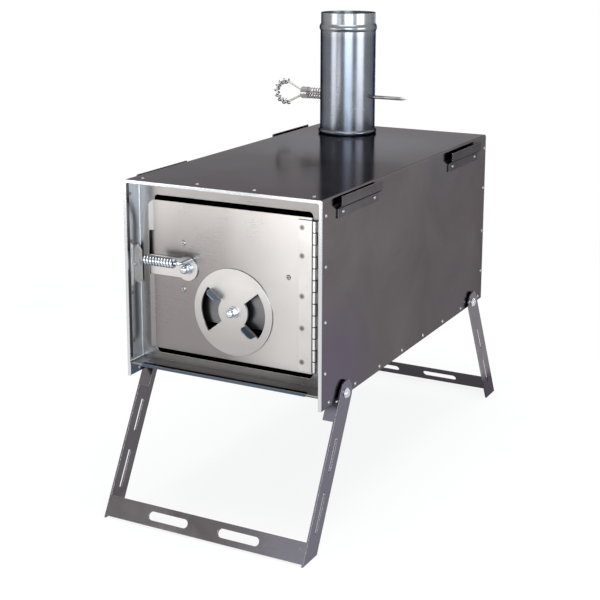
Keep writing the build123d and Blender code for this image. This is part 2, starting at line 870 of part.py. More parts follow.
# Flue pipe: thin tube with a bead at its foot, a bead near its top and a narrower neck above
pipe_foot = top_z + seat_gap
pipe_line = Axis(spot(pipe_x, pipe_y, 0), (0, 0, 1))
pipe_plane = Plane(origin=spot(pipe_x, pipe_y, pipe_foot), x_dir=(1, 0, 0), z_dir=(0, -1, 0))
upper_bead_top = upper_bead_rise + upper_bead_height
with BuildPart() as flue_pipe:
    with BuildSketch(pipe_plane):
        with BuildLine():
            Line((0, 0), (pipe_radius, 0))
            ThreePointArc(
                (pipe_radius, 0),
                (pipe_radius + foot_bead, foot_bead_height / 2),
                (pipe_radius, foot_bead_height),
            )
            Line((pipe_radius, foot_bead_height), (pipe_radius, upper_bead_rise))
            ThreePointArc(
                (pipe_radius, upper_bead_rise),
                (pipe_radius + upper_bead, upper_bead_rise + upper_bead_height / 2),
                (pipe_radius - neck_step, upper_bead_top),
            )
            Line((pipe_radius - neck_step, upper_bead_top), (pipe_radius - neck_step, pipe_length))
            Line((pipe_radius - neck_step, pipe_length), (0, pipe_length))
            Line((0, pipe_length), (0, 0))
        make_face()
    revolve(axis=pipe_line)
    offset(
        amount=-pipe_wall,
        openings=[flue_pipe.faces().sort_by(Axis.Z)[0], flue_pipe.faces().sort_by(Axis.Z)[-1]],
    )
    with BuildSketch(side_at(pipe_x - 2 * pipe_radius)):
        with Locations((pipe_y, damper_z)):
            Circle(damper_rod_radius + running_fit)
    extrude(amount=4 * pipe_radius, mode=Mode.SUBTRACT)
save(flue_pipe.part, "flue_pipe")

# Damper: a plate on a rod across the pipe, upright when open
cup_left = pipe_x - cup_reach
cup_right = cup_left + cup_length
with BuildPart() as damper_rod:
    with BuildSketch(side_at(cup_left + cup_floor)):
        with Locations((pipe_y, damper_z)):
            Circle(damper_rod_radius)
    extrude(amount=cup_reach - cup_floor + damper_rod_right)
    chamfer(
        damper_rod.edges().sort_by(Axis.X)[-1],
        damper_point_length,
        damper_rod_radius - damper_point_radius,
        reference=damper_rod.faces().filter_by(GeomType.CYLINDER)[0],
    )
save(damper_rod.part, "damper_rod")

plate_radius = pipe_radius - pipe_wall - damper_gap
with BuildPart() as damper_plate:
    with BuildSketch(front_at(pipe_y + damper_plate_thickness / 2)):
        with Locations((pipe_x, damper_z)):
            Circle(plate_radius)
    extrude(amount=damper_plate_thickness)
    with BuildSketch(side_at(pipe_x - damper_hub_length / 2)):
        with Locations((pipe_y, damper_z)):
            Circle(damper_hub_radius)
    extrude(amount=damper_hub_length)
    with BuildSketch(side_at(pipe_x - pipe_radius)):
        with Locations((pipe_y, damper_z)):
            Circle(damper_rod_radius + running_fit)
    extrude(amount=2 * pipe_radius, mode=Mode.SUBTRACT)
save(damper_plate.part, "damper_plate")

with BuildPart() as damper_cup:
    with BuildSketch(side_at(cup_left)):
        with Locations((pipe_y, damper_z)):
            Circle(cup_radius)
    extrude(amount=cup_length)
    with BuildSketch(side_at(cup_left + cup_floor)):
        with Locations((pipe_y, damper_z)):
            Circle(damper_rod_radius + running_fit)
    extrude(amount=cup_length, mode=Mode.SUBTRACT)
save(damper_cup.part, "damper_cup")

# Spring that pulls the plate's hub against the pipe, between the pipe and the cup
spring_right = pipe_x - pipe_radius - damper_spring_play - damper_spring_wire / 2
spring_left = cup_right + slide_gap + damper_spring_wire / 2
damper_spring_place = straight_coil(
    spring_right,
    pipe_y,
    damper_z,
    spring_right - spring_left,
    (damper_spring_outer - damper_spring_wire) / 2,
    damper_spring_turns,
)
with BuildPart() as damper_spring:
    with BuildLine() as damper_spring_path:
        wind(damper_spring_place, damper_spring_turns, damper_spring_wire)
    with BuildSketch(damper_spring_path.line ^ 0):
        Circle(damper_spring_wire / 2)
    sweep(path=damper_spring_path.line)
save(damper_spring.part, "damper_spring")
print_least_gap("damper_spring", damper_spring_place, damper_spring_turns, damper_spring_wire)

# Bail grip: two arms that spread from the cup, joined by a bow that runs tangent to both
bail_left = pipe_x - bail_reach
arm_start = cup_left - bail_lead
slope = tan(radians(bail_flare))
flare_sin = sin(radians(bail_flare))
flare_cos = cos(radians(bail_flare))
bow_radius = (bail_spread + (arm_start - bail_left) * slope) / (
    flare_cos + slope * (1 + flare_sin)
)
bow_x = bail_left + bow_radius
bow_end_x = bow_x + bow_radius * flare_sin
bow_end_z = bow_radius * flare_cos


def bail_arm(side):
    return [
        spot(cup_left, pipe_y, damper_z + side * bail_spread),
        spot(arm_start, pipe_y, damper_z + side * bail_spread),
        spot(bow_end_x, pipe_y, damper_z + side * bow_end_z),
    ]


with BuildPart() as damper_bail:
    with BuildLine() as bail_path:
        upper = bail_arm(1)
        lower = bail_arm(-1)
        FilletPolyline(*upper, radius=bail_bend)
        TangentArc(upper[2], lower[2], tangent=upper[2] - upper[1])
        FilletPolyline(*reversed(lower), radius=bail_bend)
    with BuildSketch(bail_path.line ^ 0):
        Circle(bail_wire / 2)
    sweep(path=bail_path.line)
save(damper_bail.part, "damper_bail")


# Place on the grip's coil, which winds round the bow and ends before the arms
def bail_coil_place(share):
    bow_angle = radians(bail_coil_half_angle) * (1 - 2 * share)
    coil_angle = 2 * pi * bail_coil_turns * share
    from_bow = bow_radius + bail_coil_radius * cos(coil_angle)
    return spot(
        bow_x - from_bow * cos(bow_angle),
        pipe_y + bail_coil_radius * sin(coil_angle),
        damper_z + from_bow * sin(bow_angle),
    )


with BuildPart() as damper_bail_coil:
    with BuildLine() as bail_coil_path:
        wind(bail_coil_place, bail_coil_turns, bail_coil_wire)
    with BuildSketch(bail_coil_path.line ^ 0):
        Circle(bail_coil_wire / 2)
    sweep(path=bail_coil_path.line)
save(damper_bail_coil.part, "damper_bail_coil")
print_least_gap("damper_bail_coil", bail_coil_place, bail_coil_turns, bail_coil_wire)

# Leg frames: two splayed arms joined by a crossbar in one bent sheet
splay_sin = sin(radians(leg_splay))
splay_cos = cos(radians(leg_splay))
edge = leg_width / 2


# Beside the front arm: local x down the arm from its pivot, local y to the front
def arm_at(offset):
    return Plane(
        origin=spot(offset, leg_pivot_inset, leg_pivot_z),
        x_dir=(0, -splay_sin, -splay_cos),
        z_dir=(-1, 0, 0),
    )


arm_length = (leg_pivot_z + edge * splay_sin) / splay_cos + leg_width
crossbar_end = (leg_pivot_z + edge * splay_sin - crossbar_ground_gap) / splay_cos
crossbar_middle = crossbar_end - crossbar_height / 2
tab_start = (leg_pivot_rise + slide_gap + edge * splay_sin) / splay_cos
with BuildPart() as front_leg:
    with BuildSketch(arm_at(leg_outer)):
        Circle(edge)
        Rectangle(arm_length, leg_width, align=(Align.MIN, Align.CENTER))
        Circle(bolt_hole, mode=Mode.SUBTRACT)
        for slot_start, slot_end in leg_slots:
            with Locations(((slot_start + slot_end) / 2, 0)):
                SlotOverall(slot_end - slot_start, leg_slot_width, mode=Mode.SUBTRACT)
    extrude(amount=leg_sheet)
    with BuildSketch(arm_at(leg_outer)):
        with Locations((tab_start, edge)):
            Rectangle(stop_tab_height, leg_sheet, align=(Align.MIN, Align.MAX))
    extrude(amount=stop_tab_reach)
    mirror(about=side_at(0))
    with BuildSketch(arm_at(leg_outer)):
        with Locations((crossbar_middle, edge)):
            Rectangle(crossbar_height, leg_sheet, align=(Align.CENTER, Align.MAX))
    extrude(amount=2 * leg_outer)
    bar_plane = Plane(
        origin=spot(0, leg_pivot_inset, leg_pivot_z),
        x_dir=(1, 0, 0),
        z_dir=(0, -splay_cos, splay_sin),
    )
    with BuildSketch(bar_plane):
        with Locations((0, -crossbar_middle)):
            with GridLocations(2 * crossbar_slot_middle, 1, 2, 1):
                SlotOverall(crossbar_slot_length, crossbar_slot_height)
    extrude(amount=edge, mode=Mode.SUBTRACT)
    split(bisect_by=Plane.XY, keep=Keep.TOP)
save(front_leg.part, "front_leg")

with BuildPart() as rear_leg:
    mirror(front_leg.part, about=Plane.XZ)
save(rear_leg.part, "rear_leg")

# Leg bolts, each with a spacer that holds the arm off the side and a nut inside
with BuildPart() as leg_bolts:
    with BuildSketch(side_at(leg_outer + seat_gap)):
        with Locations(*leg_pivots):
            Circle(leg_bolt_head_radius)
    extrude(amount=leg_bolt_head_height, taper=head_taper)
    with BuildSketch(side_at(leg_outer + seat_gap)):
        with Locations(*leg_pivots):
            Circle(bolt_radius)
    extrude(amount=-(leg_outer + seat_gap - flange_half + nut_height + sheet))
    mirror(about=side_at(0))
save(leg_bolts.part, "leg_bolts")

with BuildPart() as leg_spacers:
    with BuildSketch(side_at(half)):
        with Locations(*leg_pivots):
            Circle(leg_spacer_radius)
            Circle(bolt_hole, mode=Mode.SUBTRACT)
    extrude(amount=leg_side_gap - seat_gap)
    mirror(about=side_at(0))
save(leg_spacers.part, "leg_spacers")

with BuildPart() as leg_nuts:
    with BuildSketch(side_at(flange_half)):
        with Locations(*leg_pivots):
            RegularPolygon(nut_flats / 2, 6, major_radius=False)
            Circle(bolt_hole, mode=Mode.SUBTRACT)
    extrude(amount=-nut_height)
    mirror(about=side_at(0))
save(leg_nuts.part, "leg_nuts")
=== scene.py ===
import math

import bpy
import numpy as np
from mathutils import Matrix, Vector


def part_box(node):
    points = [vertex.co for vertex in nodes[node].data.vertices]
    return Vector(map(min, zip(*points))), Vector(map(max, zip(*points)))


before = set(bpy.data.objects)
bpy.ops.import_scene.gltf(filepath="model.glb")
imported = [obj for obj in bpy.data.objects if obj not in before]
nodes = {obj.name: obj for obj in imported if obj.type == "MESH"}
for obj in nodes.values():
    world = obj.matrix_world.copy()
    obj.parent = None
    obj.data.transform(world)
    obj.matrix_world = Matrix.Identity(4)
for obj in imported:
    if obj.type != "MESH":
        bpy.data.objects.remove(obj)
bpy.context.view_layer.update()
print("tent stove loaded,", len(nodes), "pieces")

scene = bpy.context.scene
scene.view_settings.view_transform = "Standard"

# The Mix node's colour sockets, by number, because its sockets of other kinds have the same names
mixSockets = {"amount": 0, "under": 6, "over": 7, "result": 2}


# Sets a node's inputs, by a link where the value comes out of another node
def fill(tree, node, values):
    for key, value in values.items():
        if isinstance(value, bpy.types.NodeSocket):
            tree.links.new(value, node.inputs[key])
        else:
            node.inputs[key].default_value = value


def addNode(tree, kind, values=None, **settings):
    node = tree.nodes.new(kind)
    for key, value in settings.items():
        setattr(node, key, value)
    fill(tree, node, values or {})
    return node


def objectCoords(tree):
    return addNode(tree, "ShaderNodeTexCoord").outputs["Object"]


def addNoise(tree, coords, settings):
    return addNode(tree, "ShaderNodeTexNoise", dict(settings, Vector=coords)).outputs[0]


def remap(tree, value, low, high, toLow=0.0, toHigh=1.0):
    values = {"Value": value, "From Min": low, "From Max": high, "To Min": toLow, "To Max": toHigh}
    return addNode(tree, "ShaderNodeMapRange", values).outputs[0]


def compute(tree, operation, first, second=0.0):
    values = {0: first, 1: second}
    return addNode(tree, "ShaderNodeMath", values, operation=operation).outputs[0]


# One vector times another, axis by axis
def scaleVector(tree, first, second):
    values = {0: first, 1: second}
    return addNode(tree, "ShaderNodeVectorMath", values, operation="MULTIPLY").outputs["Vector"]


# One number out of two vectors, such as their distance
def measure(tree, operation, first, second):
    values = {0: first, 1: second}
    return addNode(tree, "ShaderNodeVectorMath", values, operation=operation).outputs["Value"]


def opaque(tone):
    return (*tone, 1.0)


def blendColour(tree, amount, under, over):
    if isinstance(under, tuple):
        under = opaque(under)
    values = {
        mixSockets["amount"]: amount,
        mixSockets["under"]: under,
        mixSockets["over"]: opaque(over),
    }
    mix = addNode(tree, "ShaderNodeMix", values, data_type="RGBA")
    return mix.outputs[mixSockets["result"]]


# 1 for the rays that show the background: the camera's own, mirrored ones and those through glass
def seenRays(tree):
    path = addNode(tree, "ShaderNodeLightPath").outputs
    seen = compute(tree, "MAXIMUM", path["Is Camera Ray"], path["Is Glossy Ray"])
    return compute(tree, "MAXIMUM", seen, path["Is Transmission Ray"])


# Two shaders mixed into the tree's last node
def mixShaders(tree, amount, under, over, last):
    values = {0: amount, 1: under.outputs[0], 2: over.outputs[0]}
    mix = addNode(tree, "ShaderNodeMixShader", values)
    fill(tree, tree.nodes[last], {"Surface": mix.outputs[0]})


def newGroup(name, inputs, outputs):
    group = bpy.data.node_groups.new(name, "ShaderNodeTree")
    for side, sockets in (("INPUT", inputs), ("OUTPUT", outputs)):
        for label, kind in sockets.items():
            group.interface.new_socket(label, in_out=side, socket_type="NodeSocket" + kind)
    given = group.nodes.new("NodeGroupInput").outputs
    result = group.nodes.new("NodeGroupOutput")
    return group, given, result


def useGroup(tree, group, values):
    return addNode(tree, "ShaderNodeGroup", values, node_tree=group).outputs


# Rolled sheet: fine lines along the rolling direction, slow clouds, small marks and gentle waves
sheetLook = {
    "lines": {"Detail": 3.0, "Roughness": 0.65},
    "clouds": {"Detail": 4.0, "Roughness": 0.55, "Distortion": 0.6},
    "cloudRange": (0.3, 0.7),
    "marks": {"Scale": 150.0, "Detail": 5.0, "Roughness": 0.7},
    "markRange": (0.62, 0.75),
    "waves": {"Scale": 7.0, "Detail": 1.0, "Roughness": 0.4},
}


def makeSheetGroup():
    group, given, result = newGroup(
        "rolledSheet",
        {"Stretch": "Vector", "Line Scale": "Float", "Cloud Scale": "Float"},
        {"Lines": "Float", "Clouds": "Float", "Marks": "Float", "Waves": "Float"},
    )
    coords = objectCoords(group)
    stretched = scaleVector(group, coords, given["Stretch"])
    lines = addNoise(group, stretched, dict(sheetLook["lines"], Scale=given["Line Scale"]))
    clouds = addNoise(group, coords, dict(sheetLook["clouds"], Scale=given["Cloud Scale"]))
    marks = addNoise(group, coords, sheetLook["marks"])
    values = {
        "Lines": lines,
        "Clouds": remap(group, clouds, *sheetLook["cloudRange"]),
        "Marks": remap(group, marks, *sheetLook["markRange"]),
        "Waves": addNoise(group, coords, sheetLook["waves"]),
    }
    fill(group, result, values)
    return group


# Worn edges, in patches, where the rounded normal leaves the flat one, and painted shade in
# creases, from ambient occlusion
edgeLook = {
    "bevelSamples": 4,
    "bendRange": (0.995, 0.80),
    "patches": {"Scale": 60.0, "Detail": 3.0, "Roughness": 0.5},
    "patchRange": (0.3, 0.6),
    "patchWear": (0.35, 1.0),
    "creaseSamples": 6,
    "creaseRange": (0.75, 0.15),
}


def makeEdgeGroup():
    group, given, result = newGroup(
        "wornEdge",
        {"Width": "Float", "Crease Reach": "Float"},
        {"Edge": "Float", "Crease Shadow": "Float", "Normal": "Vector"},
    )
    bevel = addNode(
        group, "ShaderNodeBevel", {"Radius": given["Width"]}, samples=edgeLook["bevelSamples"]
    )
    flat = addNode(group, "ShaderNodeNewGeometry").outputs["Normal"]
    facing = measure(group, "DOT_PRODUCT", bevel.outputs[0], flat)
    bend = remap(group, facing, *edgeLook["bendRange"])
    patches = addNoise(group, objectCoords(group), edgeLook["patches"])
    patches = remap(group, patches, *edgeLook["patchRange"], *edgeLook["patchWear"])
    shelter = addNode(
        group,
        "ShaderNodeAmbientOcclusion",
        {"Distance": given["Crease Reach"]},
        samples=edgeLook["creaseSamples"],
    )
    values = {
        "Edge": compute(group, "MULTIPLY", bend, patches),
        "Crease Shadow": remap(group, shelter.outputs["AO"], *edgeLook["creaseRange"]),
        "Normal": bevel.outputs[0],
    }
    fill(group, result, values)
    return group


# Fade: a mask that rises along a direction of the piece, from Start to End
def makeFadeGroup():
    sockets = {"Direction": "Vector", "Start": "Float", "End": "Float"}
    group, given, result = newGroup("toneFade", sockets, {"Mask": "Float"})
    along = measure(group, "DOT_PRODUCT", objectCoords(group), given["Direction"])
    fill(group, result, {"Mask": remap(group, along, given["Start"], given["End"])})
    return group


# The part of a spot's reach within which its mask is full
spotCore = 0.4


# Spot: a round mask about Centre, gone at Reach. Keep is 1 on the axes that are measured
def makeSpotGroup():
    sockets = {"Centre": "Vector", "Keep": "Vector", "Reach": "Float"}
    group, given, result = newGroup("roundSpot", sockets, {"Mask": "Float"})
    coords = scaleVector(group, objectCoords(group), given["Keep"])
    centre = scaleVector(group, given["Centre"], given["Keep"])
    gap = measure(group, "DISTANCE", coords, centre)
    core = compute(group, "MULTIPLY", given["Reach"], spotCore)
    fill(group, result, {"Mask": remap(group, gap, given["Reach"], core)})
    return group


sheetGroup = makeSheetGroup()
edgeGroup = makeEdgeGroup()
fadeGroup = makeFadeGroup()
spotGroup = makeSpotGroup()


def fadeMask(tree, look):
    values = {"Direction": look["direction"], "Start": look["start"], "End": look["end"]}
    return useGroup(tree, fadeGroup, values)["Mask"]


# The largest of a few spots' masks
def spotMask(tree, look):
    largest = 0.0
    for place in look["places"]:
        values = {"Centre": place, "Keep": look["keep"], "Reach": look["reach"]}
        largest = compute(tree, "MAXIMUM", largest, useGroup(tree, spotGroup, values)["Mask"])
    return largest


# What every metal finish shares: how far lines and marks change its gloss, and its relief
metalLook = {
    "lineRange": (0.3, 0.7),
    "lineRough": (-0.012, 0.012),
    "markRough": 0.12,
    "bump": {"Strength": 1.0, "Distance": 0.001},
}


# Bare or plated sheet and wire: base colour between two tones, worn edges, marks, fine relief
def metalFinish(name, look):
    material = bpy.data.materials.new(name)
    material.use_nodes = True
    tree = material.node_tree
    grain = {
        "Stretch": look["stretch"],
        "Line Scale": look["lineScale"],
        "Cloud Scale": look["cloudScale"],
    }
    surface = useGroup(tree, sheetGroup, grain)
    wear = {"Width": look["edgeWidth"], "Crease Reach": look["creaseReach"]}
    edge = useGroup(tree, edgeGroup, wear)

    colour = blendColour(tree, surface["Clouds"], look["dark"], look["light"])
    lineRange = metalLook["lineRange"]
    lineShade = remap(tree, surface["Lines"], *lineRange, 0.0, look["lineShade"])
    colour = blendColour(tree, lineShade, colour, look["line"])
    # Marks, worn edges, then the painted shade in creases, each laid over the colour before
    layers = {"mark": surface["Marks"], "edge": edge["Edge"], "creaseShadow": edge["Crease Shadow"]}
    for layer, mask in layers.items():
        shade = compute(tree, "MULTIPLY", mask, look[layer + "Shade"])
        colour = blendColour(tree, shade, colour, look[layer])

    rough = remap(tree, surface["Clouds"], 0.0, 1.0, *look["roughness"])
    lineRough = remap(tree, surface["Lines"], *lineRange, *metalLook["lineRough"])
    markRough = compute(tree, "MULTIPLY", surface["Marks"], metalLook["markRough"])
    rough = compute(tree, "ADD", compute(tree, "ADD", rough, lineRough), markRough)

    lineHeight = compute(tree, "MULTIPLY", surface["Lines"], look["lineHeight"])
    waveHeight = compute(tree, "MULTIPLY", surface["Waves"], look["waveHeight"])
    height = compute(tree, "ADD", lineHeight, waveHeight)
    relief = dict(metalLook["bump"], Height=height, Normal=edge["Normal"])
    bump = addNode(tree, "ShaderNodeBump", relief)

    shader = tree.nodes["Principled BSDF"]
    values = {
        "Base Color": colour,
        "Metallic": 1.0,
        "Roughness": rough,
        "Specular Tint": opaque(look["grazing"]),
        "Normal": bump.outputs[0],
    }
    fill(tree, shader, values)
    return {"material": material, "tree": tree, "shader": shader, "colour": colour}


# Lays one more tone over a finish where the mask is up
def overlay(finish, mask, look):
    tree = finish["tree"]
    shade = compute(tree, "MULTIPLY", mask, look["amount"])
    finish["colour"] = blendColour(tree, shade, finish["colour"], look["tone"])
    fill(tree, finish["shader"], {"Base Color": finish["colour"]})


# Lays the tones of fades and spots over a finish, in the order given
def paint(finish, *looks):
    for look in looks:
        findMask = spotMask if "places" in look else fadeMask
        overlay(finish, findMask(finish["tree"], look), look)


def dress(finish, *names):
    for name in names:
        nodes[name].data.materials.clear()
        nodes[name].data.materials.append(finish["material"])


# Grain: the axis with a small number is the one that the lines run along
grainLengthwise = (1.0, 0.006, 1.0)
grainCrosswise = (0.006, 1.0, 1.0)
grainUpright = (1.0, 1.0, 0.02)
grainEven = (1.0, 1.0, 1.0)

# Directions of the fades
rightward = (1.0, 0.0, 0.0)
backward = (0.0, 1.0, 0.0)
upward = (0.0, 0.0, 1.0)

# Axes that the spots are measured on: all, the two seen from the front, the two seen from above
allRound = (1.0, 1.0, 1.0)
fromFront = (1.0, 0.0, 1.0)
fromAbove = (1.0, 1.0, 0.0)

# Lowest and highest corners of the pieces that painted places are measured from
shellLow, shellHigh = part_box("body_wrap")
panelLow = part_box("front_panel")[0]
doorLow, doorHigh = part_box("door_plate")
discLow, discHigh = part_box("draft_spinner")
pinLow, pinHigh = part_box("hinge_pin")
rivetLow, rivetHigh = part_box("door_rivets")
pipeLow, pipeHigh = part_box("flue_pipe")
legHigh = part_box("front_leg")[1]

# Shell: heat-tinted purple at the low front corner, a painted reflection of the pipe on the top
# before the flue, a painted highlight along the hem in front
shellLook = {
    "dark": (0.160, 0.148, 0.151),
    "light": (0.205, 0.190, 0.194),
    "line": (0.24, 0.225, 0.23),
    "mark": (0.09, 0.08, 0.082),
    "grazing": (0.36, 0.35, 0.36),
    "edge": (0.55, 0.55, 0.56),
    # The crease tone is painted shade, laid into creases by ambient occlusion
    "creaseShadow": (0.02, 0.018, 0.018),
    "stretch": grainLengthwise,
    "lineScale": 900.0,
    "cloudScale": 7.0,
    "lineShade": 0.12,
    "markShade": 0.3,
    "edgeShade": 0.7,
    "creaseShadowShade": 0.7,
    "creaseReach": 0.008,
    "edgeWidth": 0.0008,
    "roughness": (0.12, 0.18),
    "lineHeight": 0.002,
    "waveHeight": 0.7,
}
tintLook = {
    "places": [(shellHigh.x, shellLow.y + 0.02, shellLow.z + 0.01)],
    "keep": allRound,
    "reach": 0.13,
    "tone": (0.165, 0.145, 0.190),
    "amount": 0.8,
}
# Painted reflection of the pipe: a pale blue patch on the top in front of the flue
pipeReflectionLook = {
    "places": [((pipeLow.x + pipeHigh.x) / 2 + 0.051, pipeLow.y - 0.055, shellHigh.z)],
    "keep": allRound,
    "reach": 0.15,
    "tone": (0.34, 0.38, 0.43),
    "amount": 0.6,
}
# Painted highlight: a pale strip along the shell's front hem
hemHighlightLook = {
    "direction": backward,
    "start": shellLow.y + 0.0017,
    "end": shellLow.y + 0.0010,
    "tone": (0.66, 0.67, 0.69),
    "amount": 1.0,
}
shellSteel = metalFinish("shellSteel", shellLook)
paint(shellSteel, tintLook, pipeReflectionLook, hemHighlightLook)
dress(shellSteel, "body_wrap", "back_panel")

# Bottom panel, whose front lip is blue
lipLook = dict(
    shellLook,
    dark=(0.060, 0.082, 0.112),
    light=(0.105, 0.130, 0.165),
    line=(0.16, 0.18, 0.20),
    stretch=grainCrosswise,
    edgeShade=0.5,
)
lipSteel = metalFinish("lipSteel", lipLook)
dress(lipSteel, "bottom_panel")

# Shelf brackets
bracketLook = dict(
    shellLook,
    dark=(0.118, 0.115, 0.118),
    light=(0.165, 0.160, 0.165),
    cloudScale=14.0,
    creaseShadowShade=0.3,
    creaseReach=0.003,
    edgeWidth=0.0006,
    waveHeight=0.3,
)
bracketSteel = metalFinish("bracketSteel", bracketLook)
for end in ("front", "rear"):
    for side in ("right", "left"):
        dress(bracketSteel, f"bracket_{end}_{side}")

# Bare steel of the front, from which the finishes of the door and its fittings are taken
frontLook = {
    "dark": (0.230, 0.216, 0.212),
    "light": (0.300, 0.284, 0.277),
    "line": (0.36, 0.345, 0.335),
    "mark": (0.15, 0.135, 0.13),
    "grazing": (0.75, 0.75, 0.77),
    "edge": (0.85, 0.85, 0.85),
    # The crease tone is painted shade, laid into creases by ambient occlusion
    "creaseShadow": (0.03, 0.027, 0.025),
    "stretch": grainCrosswise,
    "lineScale": 1500.0,
    "cloudScale": 8.0,
    "lineShade": 0.08,
    "markShade": 0.18,
    "edgeShade": 0.7,
    "creaseShadowShade": 0.85,
    "creaseReach": 0.006,
    "edgeWidth": 0.0006,
    "roughness": (0.27, 0.34),
    "lineHeight": 0.0006,
    "waveHeight": 0.3,
}

# Door plate: painted shade at its lower left, a painted highlight along the hinge
doorLook = dict(frontLook, dark=(0.335, 0.320, 0.310), light=(0.398, 0.382, 0.371))
# Painted shade: a darker patch at the door's lower left
doorShadeLook = {
    "places": [(doorLow.x + 0.033, 0.0, doorLow.z + 0.009)],
    "keep": fromFront,
    "reach": 0.19,
    "tone": (0.215, 0.198, 0.198),
    "amount": 0.95,
}
# Painted highlight: a paler band rising towards the hinge side
doorHighlightLook = {
    "direction": rightward,
    "start": doorHigh.x - 0.111,
    "end": doorHigh.x - 0.021,
    "tone": (0.55, 0.53, 0.522),
    "amount": 0.9,
}
doorSteel = metalFinish("doorSteel", doorLook)
paint(doorSteel, doorShadeLook, doorHighlightLook)
dress(doorSteel, "door_plate")

# Latch keeper
keeperLook = dict(
    frontLook,
    dark=(0.42, 0.41, 0.405),
    light=(0.54, 0.53, 0.525),
    creaseShadowShade=0.5,
)
keeperSteel = metalFinish("keeperSteel", keeperLook)
dress(keeperSteel, "latch_keeper")

# Front panel, with painted light on its left flange, brighter than its face
panelLook = dict(frontLook, dark=(0.210, 0.201, 0.199), light=(0.260, 0.249, 0.247))
# Painted light: a pale tone over the left flange
flangeLightLook = {
    "direction": rightward,
    "start": panelLow.x + 0.0022,
    "end": panelLow.x + 0.0012,
    "tone": (0.78, 0.81, 0.84),
    "amount": 1.0,
}
panelSteel = metalFinish("panelSteel", panelLook)
paint(panelSteel, flangeLightLook)
dress(panelSteel, "front_panel")

# Heat shield, seen through the draft ports
shieldLook = dict(frontLook, dark=(0.12, 0.12, 0.125), light=(0.19, 0.19, 0.20))
shieldSteel = metalFinish("shieldSteel", shieldLook)
dress(shieldSteel, "heat_shield", "shield_spacers")

# Draft disc and latch bar: painted shade, darker towards the disc's foot, with blue finger tabs
discLook = dict(
    frontLook,
    dark=(0.500, 0.485, 0.475),
    light=(0.575, 0.56, 0.55),
    edgeWidth=0.0005,
)
# Painted shade: darker towards the disc's foot
discFootShadeLook = {
    "direction": upward,
    "start": discHigh.z - 0.0195,
    "end": discLow.z + 0.0125,
    "tone": (0.335, 0.318, 0.313),
    "amount": 0.85,
}
tabLook = {
    "direction": backward,
    "start": discHigh.y - 0.0033,
    "end": discHigh.y - 0.0045,
    "tone": (0.19, 0.24, 0.30),
    "amount": 1.0,
}
discSteel = metalFinish("discSteel", discLook)
paint(discSteel, discFootShadeLook, tabLook)
dress(discSteel, "draft_spinner", "latch_bar")

# Hinge: pale leaves, a painted highlight on the barrel about the pin, dark weld spots on the
# door's leaf
pinX = (pinLow.x + pinHigh.x) / 2
pinY = (pinLow.y + pinHigh.y) / 2
knuckles = 13
hingeLook = dict(
    frontLook,
    dark=(0.53, 0.51, 0.50),
    light=(0.61, 0.59, 0.58),
    cloudScale=20.0,
    creaseReach=0.004,
    edgeWidth=0.0003,
    waveHeight=0.1,
)
# Painted highlight: a brighter tone on the barrel about the pin
barrelHighlightLook = {
    "places": [(pinX, pinY, 0.0)],
    "keep": fromAbove,
    "reach": 0.0030,
    "fullFrom": 0.2,
    "tone": (0.72, 0.73, 0.72),
    "amount": 1.0,
}
# Painted shade in the joints between knuckles, along the barrel's root and on the leaves' upper
# ends
gapShadeLook = {
    "pitch": (pinHigh.z - pinLow.z) / knuckles,
    "jointRange": (0.000732, 0.000399),
    "root": pinX - 0.0032,
    "rootRange": (0.0009, 0.00036),
    "direction": upward,
    "start": pinHigh.z - 0.0012,
    "end": pinHigh.z - 0.0004,
    "tone": (0.02, 0.018, 0.016),
    "amount": 1.0,
}
weldHeights = (0.1637, 0.1318, 0.0860, 0.0493, 0.0101)
weldLook = {
    "places": [(pinX - 0.0158, 0.0, pinLow.z + height) for height in weldHeights],
    "keep": fromFront,
    "reach": 0.0040,
    "tone": (0.075, 0.062, 0.056),
    "amount": 0.85,
}


# Painted shade in the joints: the height above the pin's foot, folded at half a pitch, is the
# distance to the nearest joint
def gapShadeMask(tree, look, barrelHighlight):
    apart = addNode(tree, "ShaderNodeSeparateXYZ", {0: objectCoords(tree)}).outputs
    height = compute(tree, "SUBTRACT", apart["Z"], pinLow.z)
    nearest = compute(tree, "PINGPONG", height, look["pitch"] / 2)
    joints = compute(tree, "MULTIPLY", remap(tree, nearest, *look["jointRange"]), barrelHighlight)
    across = compute(tree, "ABSOLUTE", compute(tree, "SUBTRACT", apart["X"], look["root"]))
    root = remap(tree, across, *look["rootRange"])
    gapShade = compute(tree, "MAXIMUM", joints, root)
    return compute(tree, "MAXIMUM", gapShade, fadeMask(tree, look))


hingeSteel = metalFinish("hingeSteel", hingeLook)
# Painted highlight on the barrel
barrelHighlight = spotMask(hingeSteel["tree"], barrelHighlightLook)
barrelHighlight = remap(hingeSteel["tree"], barrelHighlight, 0.0, barrelHighlightLook["fullFrom"])
overlay(hingeSteel, barrelHighlight, barrelHighlightLook)
# Painted shade in the hinge's joints, along the barrel's root and at the leaves' upper ends
overlay(hingeSteel, gapShadeMask(hingeSteel["tree"], gapShadeLook, barrelHighlight), gapShadeLook)
paint(hingeSteel, weldLook)
dress(hingeSteel, "hinge_frame_leaf", "hinge_door_leaf", "hinge_pin")

# Rivets of the shell and its fittings
rivetLook = dict(
    frontLook,
    dark=(0.28, 0.28, 0.29),
    light=(0.44, 0.44, 0.45),
    stretch=grainEven,
    lineScale=700.0,
    cloudScale=60.0,
    creaseShadowShade=0.5,
    creaseReach=0.002,
    edgeWidth=0.0003,
    waveHeight=0.0,
)
rivetSteel = metalFinish("rivetSteel", rivetLook)
dress(rivetSteel, "side_rivets", "top_rivets", "bracket_rivets", "keeper_rivet")

